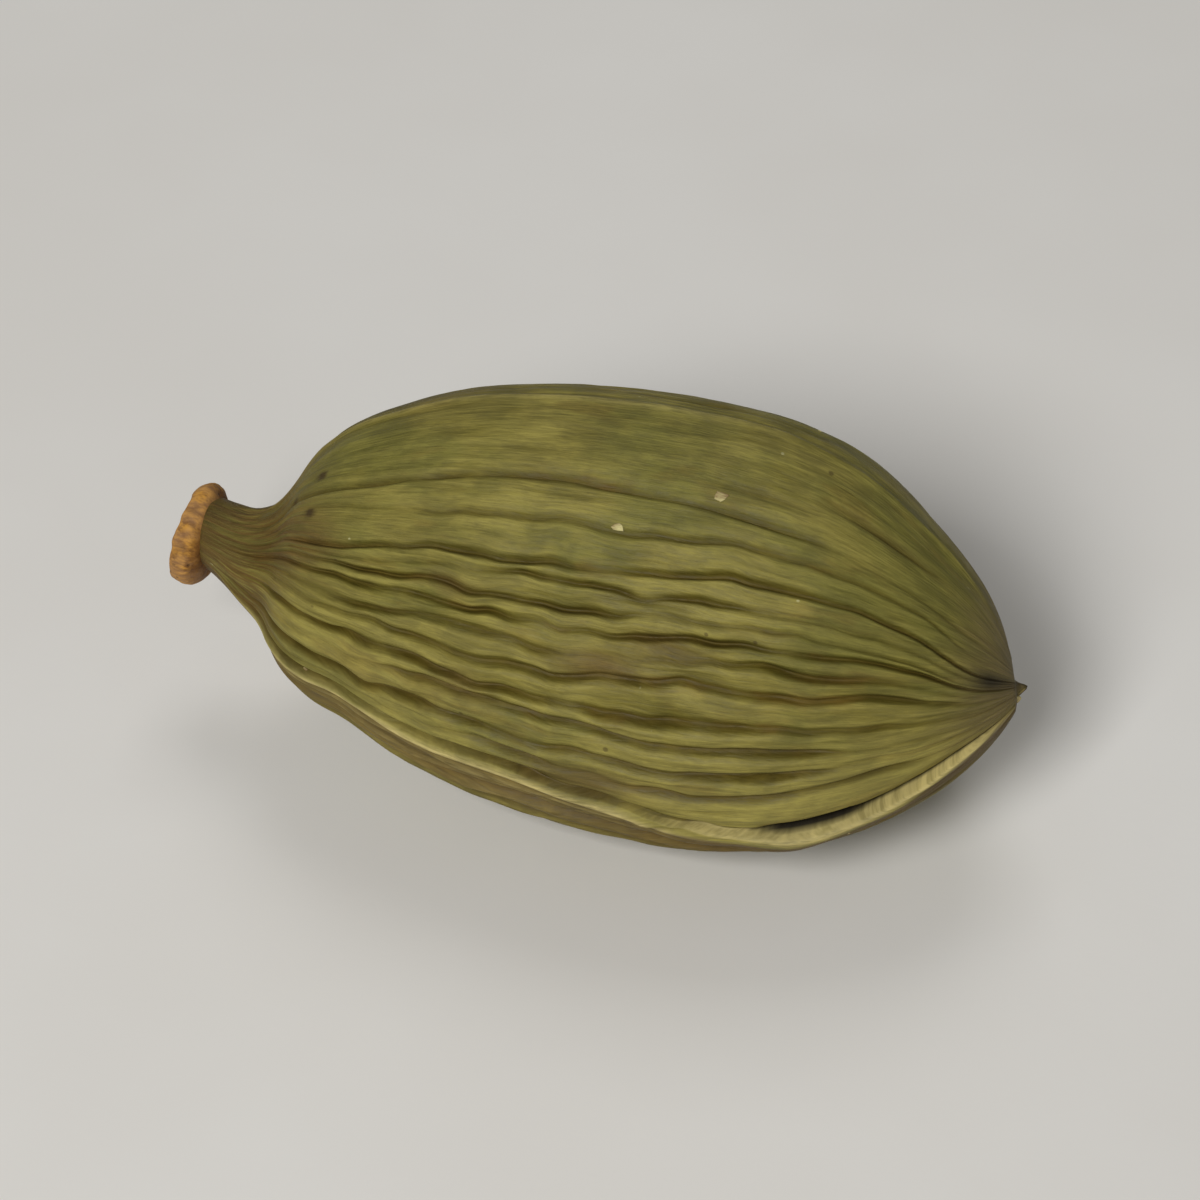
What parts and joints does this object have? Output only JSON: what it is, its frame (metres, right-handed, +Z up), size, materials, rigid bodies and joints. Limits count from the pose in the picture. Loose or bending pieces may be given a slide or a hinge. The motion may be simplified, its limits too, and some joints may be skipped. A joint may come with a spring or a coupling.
{
  "type": "green cardamom pod",
  "caption": "Dried green cardamom pod lying on its side: a ribbed, three-sided spindle husk with seam keels, the scar of its stalk at one end and a dry beak at the other.",
  "frame": {"origin": "on the surface the pod rests on, under the middle of its bounding box", "axes": "+X along the pod from the stalk scar to the beak, +Z up, -Y towards the seam that has sprung open"},
  "size_m": [0.016, 0.008, 0.0077],
  "materials": {
    "husk": "dry papery plant husk, satin, olive green with paler rib crests, straw-coloured seam keels and an orange-brown stalk scar"
  },
  "bodies": {
    "root": {"cardamom_pod": "husk"}
  },
  "joints": []
}
